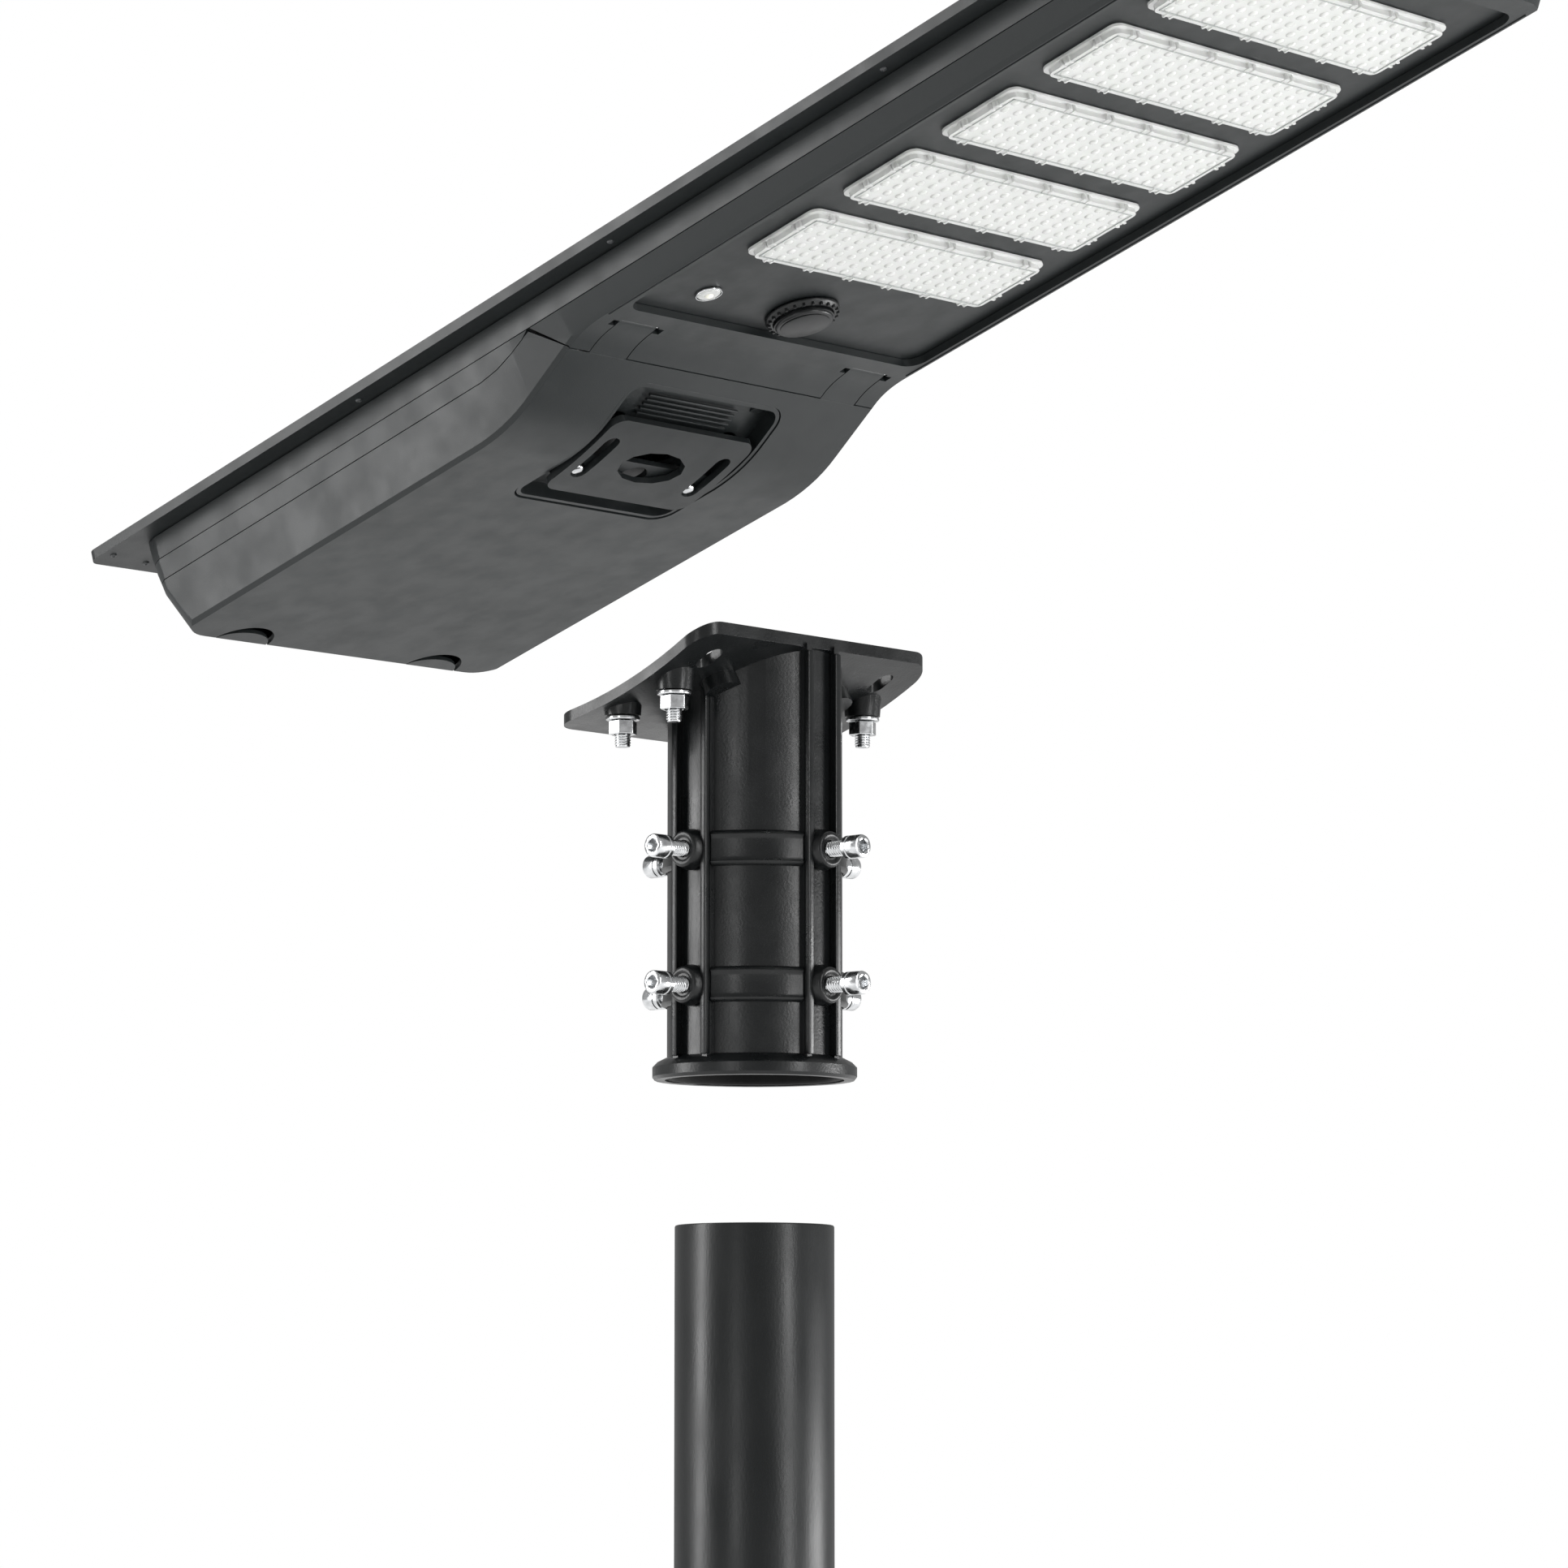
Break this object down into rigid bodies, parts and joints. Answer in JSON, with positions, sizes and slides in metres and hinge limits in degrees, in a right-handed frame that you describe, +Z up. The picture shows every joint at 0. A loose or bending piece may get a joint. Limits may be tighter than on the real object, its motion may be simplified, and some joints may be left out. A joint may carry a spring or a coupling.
{
  "type": "solar street lamp head",
  "caption": "Solar street lamp head with a tilting saddle clamp, pole adapter with clamp screws and a section of round pole, set out in line above one another.",
  "frame": {"origin": "centre of the pole section's lower end", "axes": "+Z up along the pole; +X along the lamp towards its light end; Y across the lamp"},
  "size_m": [0.7514, 0.256, 0.8786],
  "materials": {
    "pole_paint": "satin black paint on steel tube",
    "liner_rubber": "matt black",
    "casting_paint": "satin black powder coat on cast aluminium",
    "stainless": "bright stainless",
    "shell_paint": "charcoal powder coat, fine texture",
    "plate_paint": "charcoal satin paint",
    "lens_clear": "clear moulded lens",
    "board_white": "white printed board",
    "black_plastic": "black moulded plastic",
    "frame_aluminium": "charcoal painted frame",
    "solar_cell": "dark blue cells",
    "cover_glass": "clear tempered glass",
    "battery_wrap": "blue wrap"
  },
  "bodies": {
    "pole": {"pole_section": "pole_paint"},
    "liner": {"pole_liner": "liner_rubber"},
    "adapter": {"adapter_casting": "casting_paint", "saddle_washer_front_left": "stainless", "saddle_washer_front_right": "stainless", "saddle_washer_rear_left": "stainless", "saddle_washer_rear_right": "stainless", "saddle_nut_front_left": "stainless", "saddle_nut_front_right": "stainless", "saddle_nut_rear_left": "stainless", "saddle_nut_rear_right": "stainless", "saddle_bolt_front_left": "stainless", "saddle_bolt_front_right": "stainless", "saddle_bolt_rear_left": "stainless", "saddle_bolt_rear_right": "stainless"},
    "clamp_screw_front_lower": {"clamp_screw_front_lower": "stainless"},
    "clamp_screw_front_upper": {"clamp_screw_front_upper": "stainless"},
    "clamp_screw_right_lower": {"clamp_screw_right_lower": "stainless"},
    "clamp_screw_right_upper": {"clamp_screw_right_upper": "stainless"},
    "clamp_screw_rear_lower": {"clamp_screw_rear_lower": "stainless"},
    "clamp_screw_rear_upper": {"clamp_screw_rear_upper": "stainless"},
    "clamp_screw_left_lower": {"clamp_screw_left_lower": "stainless"},
    "clamp_screw_left_upper": {"clamp_screw_left_upper": "stainless"},
    "tilt_clamp": {"tilt_clamp_plate": "plate_paint"},
    "tilt_bolt_left": {"tilt_clamp_bolt_left": "stainless"},
    "tilt_bolt_right": {"tilt_clamp_bolt_right": "stainless"},
    "head": {"upper_housing": "shell_paint", "bay_frame": "shell_paint", "led_frame": "shell_paint", "led_plate": "plate_paint", "lens_module_1": "lens_clear", "lens_module_2": "lens_clear", "lens_module_3": "lens_clear", "lens_module_4": "lens_clear", "lens_module_5": "lens_clear", "led_board_1": "board_white", "led_board_2": "board_white", "led_board_3": "board_white", "led_board_4": "board_white", "led_board_5": "board_white", "sensor_collar": "black_plastic", "sensor_cap": "black_plastic", "indicator_lens": "lens_clear", "panel_frame": "frame_aluminium", "solar_cells": "solar_cell", "solar_glass": "cover_glass", "battery_pack": "battery_wrap", "battery_bracket": "stainless", "charge_controller": "black_plastic", "hinge_pin_left": "stainless", "hinge_pin_right": "stainless", "mount_bracket": "shell_paint", "mount_pad": "plate_paint"},
    "cover": {"battery_cover": "shell_paint"},
    "latch_left": {"rear_latch_left": "shell_paint"},
    "latch_right": {"rear_latch_right": "shell_paint"}
  },
  "joints": [
    {"name": "adapter_drop", "type": "slide", "parent": "pole", "child": "liner", "axis": [0, 0, -1], "range_m": [0, 0.219]},
    {"name": "adapter_swivel", "type": "hinge", "parent": "liner", "child": "adapter", "pos_m": [0, 0, 0.369], "axis": [0, 0, 1], "continuous": true},
    {"name": "screw_front_lower_drive", "type": "slide", "parent": "adapter", "child": "clamp_screw_front_lower", "axis": [-1, 0, 0], "range_m": [0, 0.002]},
    {"name": "screw_front_upper_drive", "type": "slide", "parent": "adapter", "child": "clamp_screw_front_upper", "axis": [-1, 0, 0], "range_m": [0, 0.002]},
    {"name": "screw_right_lower_drive", "type": "slide", "parent": "adapter", "child": "clamp_screw_right_lower", "axis": [0, -1, 0], "range_m": [0, 0.002]},
    {"name": "screw_right_upper_drive", "type": "slide", "parent": "adapter", "child": "clamp_screw_right_upper", "axis": [0, -1, 0], "range_m": [0, 0.002]},
    {"name": "screw_rear_lower_drive", "type": "slide", "parent": "adapter", "child": "clamp_screw_rear_lower", "axis": [1, 0, 0], "range_m": [0, 0.002]},
    {"name": "screw_rear_upper_drive", "type": "slide", "parent": "adapter", "child": "clamp_screw_rear_upper", "axis": [1, 0, 0], "range_m": [0, 0.002]},
    {"name": "screw_left_lower_drive", "type": "slide", "parent": "adapter", "child": "clamp_screw_left_lower", "axis": [0, 1, 0], "range_m": [0, 0.002]},
    {"name": "screw_left_upper_drive", "type": "slide", "parent": "adapter", "child": "clamp_screw_left_upper", "axis": [0, 1, 0], "range_m": [0, 0.002]},
    {"name": "head_lower", "type": "slide", "parent": "adapter", "child": "tilt_clamp", "axis": [0.6624, 0, -0.7492], "range_m": [0, 0.1411]},
    {"name": "head_tilt", "type": "hinge", "parent": "tilt_clamp", "child": "head", "pos_m": [-0.18893, 0, 0.90467], "axis": [0, 1, 0], "range_deg": [0, 5.7]},
    {"name": "tilt_bolt_left_drive", "type": "slide", "parent": "tilt_clamp", "child": "tilt_bolt_left", "axis": [0.4115, 0, -0.9114], "range_m": [0, 0.0095]},
    {"name": "tilt_bolt_right_drive", "type": "slide", "parent": "tilt_clamp", "child": "tilt_bolt_right", "axis": [0.4115, 0, -0.9114], "range_m": [0, 0.0095]},
    {"name": "cover_hinge", "type": "hinge", "parent": "head", "child": "cover", "pos_m": [-0.00214, 0, 0.72597], "axis": [0, 1, 0], "range_deg": [-38, 0]},
    {"name": "latch_left_pivot", "type": "hinge", "parent": "cover", "child": "latch_left", "pos_m": [-0.29533, -0.066, 0.60789], "axis": [0, -1, 0], "range_deg": [-25, 0]},
    {"name": "latch_right_pivot", "type": "hinge", "parent": "cover", "child": "latch_right", "pos_m": [-0.29533, 0.066, 0.60789], "axis": [0, -1, 0], "range_deg": [-25, 0]}
  ]
}
